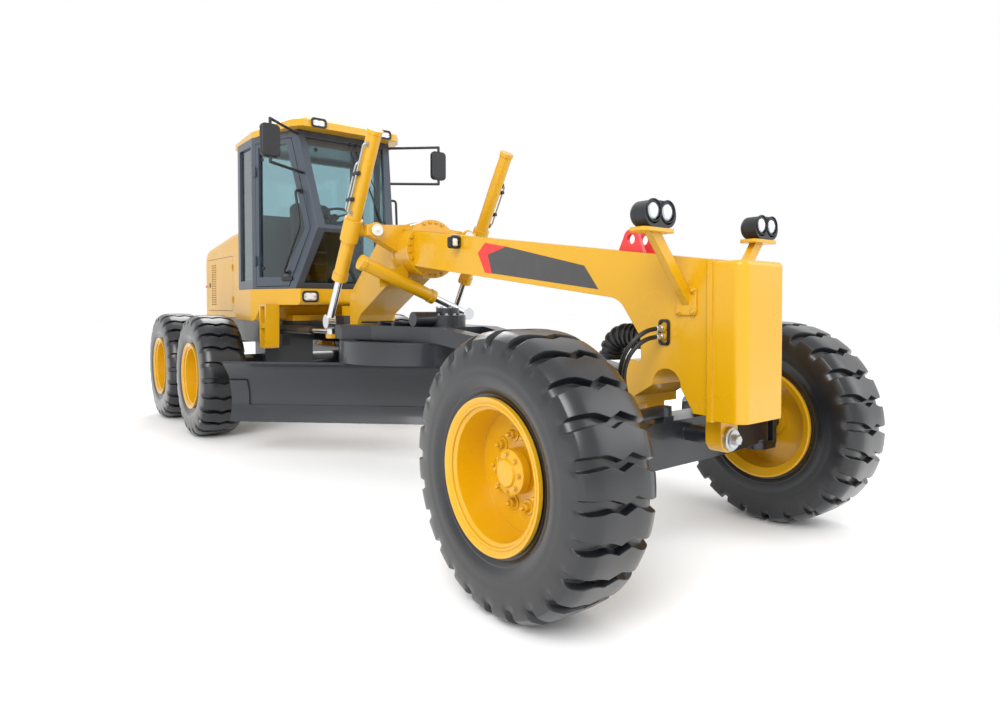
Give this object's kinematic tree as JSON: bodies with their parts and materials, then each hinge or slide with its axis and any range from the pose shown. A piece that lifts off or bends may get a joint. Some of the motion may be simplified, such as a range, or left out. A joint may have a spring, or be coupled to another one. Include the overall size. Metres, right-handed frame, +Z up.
{
  "type": "motor grader",
  "caption": "Motor grader with a hinged frame, glazed cab, engine hood, angled blade under a turning circle, lift rams and six lugged wheels, for levelling roads.",
  "frame": {"origin": "on the ground, at the middle of the machine's length and width", "axes": "+X towards the nose, +Y to the machine's left, +Z up"},
  "size_m": [8.975, 2.7299, 3.42],
  "materials": {
    "yellow_paint": "gloss",
    "dark_paint": "satin",
    "cab_grey": "satin",
    "red_paint": "gloss",
    "chrome_rod": "polished",
    "tinted_glass": "clear",
    "black_plastic": "matte",
    "lamp_plastic": "gloss",
    "cast_block": "matte",
    "tyre_rubber": "matte"
  },
  "bodies": {
    "rear": {"rear_frame": "dark_paint", "tandem_cases": "dark_paint", "cab_platform": "yellow_paint", "cab_shell": "cab_grey", "cab_glass": "tinted_glass", "cab_roof": "yellow_paint", "cab_interior": "black_plastic", "hood": "yellow_paint", "engine": "cast_block", "mirrors": "black_plastic"},
    "front": {"front_frame": "yellow_paint", "nose_cover": "yellow_paint", "lifting_eyes": "red_paint", "saddle": "yellow_paint", "front_lamps": "lamp_plastic", "front_axle": "dark_paint", "leg_boot": "black_plastic", "frame_hoses": "black_plastic"},
    "drawbar_ball": {"drawbar_ball": "dark_paint"},
    "drawbar": {"drawbar": "dark_paint"},
    "circle": {"circle": "dark_paint"},
    "blade_carrier": {"blade_carrier": "dark_paint"},
    "blade": {"blade": "dark_paint"},
    "shift_barrel": {"shift_barrel": "yellow_paint"},
    "shift_rod": {"shift_rod": "chrome_rod"},
    "tie_rod": {"tie_rod": "dark_paint"},
    "door_left": {"door_left": "cab_grey", "door_glass_left": "tinted_glass"},
    "hood_door_left": {"hood_door_left": "yellow_paint"},
    "knuckle_left": {"knuckle_left": "dark_paint"},
    "lift_yoke_left": {"lift_yoke_left": "yellow_paint"},
    "lift_barrel_left": {"lift_barrel_left": "yellow_paint"},
    "lift_rod_left": {"lift_rod_left": "chrome_rod"},
    "steering_barrel_left": {"steering_barrel_left": "dark_paint"},
    "steering_rod_left": {"steering_rod_left": "chrome_rod"},
    "hinge_barrel_left": {"hinge_barrel_left": "dark_paint"},
    "hinge_rod_left": {"hinge_rod_left": "chrome_rod"},
    "wheel_front_left": {"tyre_front_left": "tyre_rubber", "rim_front_left": "yellow_paint"},
    "wheel_mid_left": {"tyre_mid_left": "tyre_rubber", "rim_mid_left": "yellow_paint"},
    "wheel_rear_left": {"tyre_rear_left": "tyre_rubber", "rim_rear_left": "yellow_paint"},
    "door_right": {"door_right": "cab_grey", "door_glass_right": "tinted_glass"},
    "hood_door_right": {"hood_door_right": "yellow_paint"},
    "knuckle_right": {"knuckle_right": "dark_paint"},
    "lift_yoke_right": {"lift_yoke_right": "yellow_paint"},
    "lift_barrel_right": {"lift_barrel_right": "yellow_paint"},
    "lift_rod_right": {"lift_rod_right": "chrome_rod"},
    "steering_barrel_right": {"steering_barrel_right": "dark_paint"},
    "steering_rod_right": {"steering_rod_right": "chrome_rod"},
    "hinge_barrel_right": {"hinge_barrel_right": "dark_paint"},
    "hinge_rod_right": {"hinge_rod_right": "chrome_rod"},
    "wheel_front_right": {"tyre_front_right": "tyre_rubber", "rim_front_right": "yellow_paint"},
    "wheel_mid_right": {"tyre_mid_right": "tyre_rubber", "rim_mid_right": "yellow_paint"},
    "wheel_rear_right": {"tyre_rear_right": "tyre_rubber", "rim_rear_right": "yellow_paint"}
  },
  "joints": [
    {"name": "articulation", "type": "hinge", "parent": "rear", "child": "front", "pos_m": [-0.3, 0, 1.205], "axis": [0, 0, 1], "range_deg": [-27, 27]},
    {"name": "drawbar_swing", "type": "hinge", "parent": "front", "child": "drawbar_ball", "pos_m": [3.56, 0, 0.96], "axis": [0, 0, 1], "range_deg": [-9, 9]},
    {"name": "drawbar_lift", "type": "hinge", "parent": "drawbar_ball", "child": "drawbar", "pos_m": [3.56, 0, 0.96], "axis": [0, 1, 0], "range_deg": [-19, 2.5]},
    {"name": "circle_turn", "type": "hinge", "parent": "drawbar", "child": "circle", "pos_m": [1.1, 0, 1.02], "axis": [0, 0, 1], "continuous": true},
    {"name": "blade_tilt", "type": "hinge", "parent": "circle", "child": "blade_carrier", "pos_m": [0.86665, 0.23334, 0.495], "axis": [0.7071, 0.7071, 0], "range_deg": [-4, 25]},
    {"name": "blade_side_shift", "type": "slide", "parent": "blade_carrier", "child": "blade", "axis": [0.7071, 0.7071, 0], "range_m": [-0.5, 0.5]},
    {"name": "lift_yoke_left_roll", "type": "hinge", "parent": "front", "child": "lift_yoke_left", "pos_m": [1.117, 0.46, 2.03], "axis": [1, 0, 0], "range_deg": [-30.5, 30.5]},
    {"name": "lift_barrel_left_swing", "type": "hinge", "parent": "lift_yoke_left", "child": "lift_barrel_left", "pos_m": [1.072, 0.64, 2.03], "axis": [0, 1, 0], "range_deg": [-19.87, 3.05]},
    {"name": "lift_rod_left_slide", "type": "slide", "parent": "lift_barrel_left", "child": "lift_rod_left", "axis": [-0.5124, 0, -0.8587], "range_m": [-0.1198, 0.89725]},
    {"name": "lift_yoke_right_roll", "type": "hinge", "parent": "front", "child": "lift_yoke_right", "pos_m": [1.117, -0.46, 2.03], "axis": [1, 0, 0], "range_deg": [-30.5, 30.5]},
    {"name": "lift_barrel_right_swing", "type": "hinge", "parent": "lift_yoke_right", "child": "lift_barrel_right", "pos_m": [1.072, -0.64, 2.03], "axis": [0, 1, 0], "range_deg": [-19.87, 3.05]},
    {"name": "lift_rod_right_slide", "type": "slide", "parent": "lift_barrel_right", "child": "lift_rod_right", "axis": [-0.5124, 0, -0.8587], "range_m": [-0.1198, 0.89725]},
    {"name": "shift_barrel_swing", "type": "hinge", "parent": "front", "child": "shift_barrel", "pos_m": [1.2, -0.3, 1.629], "axis": [1, 0, 0], "range_deg": [-38.64, 5.52]},
    {"name": "shift_rod_slide", "type": "slide", "parent": "shift_barrel", "child": "shift_rod", "axis": [0, 0.9241, -0.382], "range_m": [-0.06583, 0.4871]},
    {"name": "steer_left", "type": "hinge", "parent": "front", "child": "knuckle_left", "pos_m": [3.875, 0.85, 0.65], "axis": [0, 0, 1], "range_deg": [-50, 50]},
    {"name": "steer_right", "type": "hinge", "parent": "front", "child": "knuckle_right", "pos_m": [3.875, -0.85, 0.65], "axis": [0, 0, 1], "range_deg": [-50, 50]},
    {"name": "tie_rod_turn", "type": "hinge", "parent": "knuckle_left", "child": "tie_rod", "pos_m": [3.675, 0.85, 0.462], "axis": [0, 0, 1], "range_deg": [-50, 50]},
    {"name": "steering_barrel_left_swing", "type": "hinge", "parent": "front", "child": "steering_barrel_left", "pos_m": [3.95, 0.17, 0.838], "axis": [0, 0, 1], "range_deg": [-4.61, 4.61]},
    {"name": "steering_rod_left_slide", "type": "slide", "parent": "steering_barrel_left", "child": "steering_rod_left", "axis": [0.1211, 0.9926, 0], "range_m": [-0.12587, 0.12587]},
    {"name": "hinge_barrel_left_swing", "type": "hinge", "parent": "rear", "child": "hinge_barrel_left", "pos_m": [-1.1, 0.48, 1.156], "axis": [0, 0, 1], "range_deg": [-8.67, 8.67]},
    {"name": "hinge_rod_left_slide", "type": "slide", "parent": "hinge_barrel_left", "child": "hinge_rod_left", "axis": [0.9978, -0.0667, 0], "range_m": [-0.20088, 0.20088]},
    {"name": "wheel_front_left_spin", "type": "hinge", "parent": "knuckle_left", "child": "wheel_front_left", "pos_m": [3.875, 1.078, 0.65], "axis": [0, 1, 0], "continuous": true},
    {"name": "wheel_mid_left_spin", "type": "hinge", "parent": "rear", "child": "wheel_mid_left", "pos_m": [-1.575, 1.078, 0.65], "axis": [0, 1, 0], "continuous": true},
    {"name": "wheel_rear_left_spin", "type": "hinge", "parent": "rear", "child": "wheel_rear_left", "pos_m": [-3.113, 1.078, 0.65], "axis": [0, 1, 0], "continuous": true},
    {"name": "door_left_open", "type": "hinge", "parent": "rear", "child": "door_left", "pos_m": [-1.1, 0.735, 2.3], "axis": [0, 0, 1], "range_deg": [0, 95]},
    {"name": "hood_door_left_open", "type": "hinge", "parent": "rear", "child": "hood_door_left", "pos_m": [-2.955, 0.455, 1.7], "axis": [0, 0, -1], "range_deg": [0, 110]},
    {"name": "steering_barrel_right_swing", "type": "hinge", "parent": "front", "child": "steering_barrel_right", "pos_m": [3.95, -0.17, 0.838], "axis": [0, 0, 1], "range_deg": [-4.61, 4.61]},
    {"name": "steering_rod_right_slide", "type": "slide", "parent": "steering_barrel_right", "child": "steering_rod_right", "axis": [0.1211, -0.9926, 0], "range_m": [-0.12587, 0.12587]},
    {"name": "hinge_barrel_right_swing", "type": "hinge", "parent": "rear", "child": "hinge_barrel_right", "pos_m": [-1.1, -0.48, 1.156], "axis": [0, 0, 1], "range_deg": [-8.67, 8.67]},
    {"name": "hinge_rod_right_slide", "type": "slide", "parent": "hinge_barrel_right", "child": "hinge_rod_right", "axis": [0.9978, 0.0667, 0], "range_m": [-0.20088, 0.20088]},
    {"name": "wheel_front_right_spin", "type": "hinge", "parent": "knuckle_right", "child": "wheel_front_right", "pos_m": [3.875, -1.078, 0.65], "axis": [0, 1, 0], "continuous": true},
    {"name": "wheel_mid_right_spin", "type": "hinge", "parent": "rear", "child": "wheel_mid_right", "pos_m": [-1.575, -1.078, 0.65], "axis": [0, 1, 0], "continuous": true},
    {"name": "wheel_rear_right_spin", "type": "hinge", "parent": "rear", "child": "wheel_rear_right", "pos_m": [-3.113, -1.078, 0.65], "axis": [0, 1, 0], "continuous": true},
    {"name": "door_right_open", "type": "hinge", "parent": "rear", "child": "door_right", "pos_m": [-1.1, -0.735, 2.3], "axis": [0, 0, -1], "range_deg": [0, 95]},
    {"name": "hood_door_right_open", "type": "hinge", "parent": "rear", "child": "hood_door_right", "pos_m": [-2.955, -0.455, 1.7], "axis": [0, 0, 1], "range_deg": [0, 110]}
  ],
  "couplings": [
    {"joint": "lift_yoke_left_roll", "follows": "drawbar_swing", "ratio": -3.3333},
    {"joint": "lift_barrel_left_swing", "follows": "drawbar_lift", "ratio": 1.0195},
    {"joint": "lift_rod_left_slide", "follows": "drawbar_lift", "m_per_rad": -2.6997},
    {"joint": "lift_yoke_right_roll", "follows": "drawbar_swing", "ratio": -3.3333},
    {"joint": "lift_barrel_right_swing", "follows": "drawbar_lift", "ratio": 1.0195},
    {"joint": "lift_rod_right_slide", "follows": "drawbar_lift", "m_per_rad": -2.6997},
    {"joint": "shift_barrel_swing", "follows": "drawbar_lift", "ratio": 2.0071},
    {"joint": "shift_rod_slide", "follows": "drawbar_lift", "m_per_rad": -1.4628},
    {"joint": "steer_right", "follows": "steer_left", "ratio": 1},
    {"joint": "tie_rod_turn", "follows": "steer_left", "ratio": -1},
    {"joint": "steering_barrel_left_swing", "follows": "steer_left", "ratio": -0.082106},
    {"joint": "steering_rod_left_slide", "follows": "steer_left", "m_per_rad": 0.14194},
    {"joint": "hinge_barrel_left_swing", "follows": "articulation", "ratio": 0.30255},
    {"joint": "hinge_rod_left_slide", "follows": "articulation", "m_per_rad": -0.42203},
    {"joint": "steering_barrel_right_swing", "follows": "steer_left", "ratio": -0.082106},
    {"joint": "steering_rod_right_slide", "follows": "steer_left", "m_per_rad": -0.14194},
    {"joint": "hinge_barrel_right_swing", "follows": "articulation", "ratio": 0.30255},
    {"joint": "hinge_rod_right_slide", "follows": "articulation", "m_per_rad": 0.42203}
  ]
}
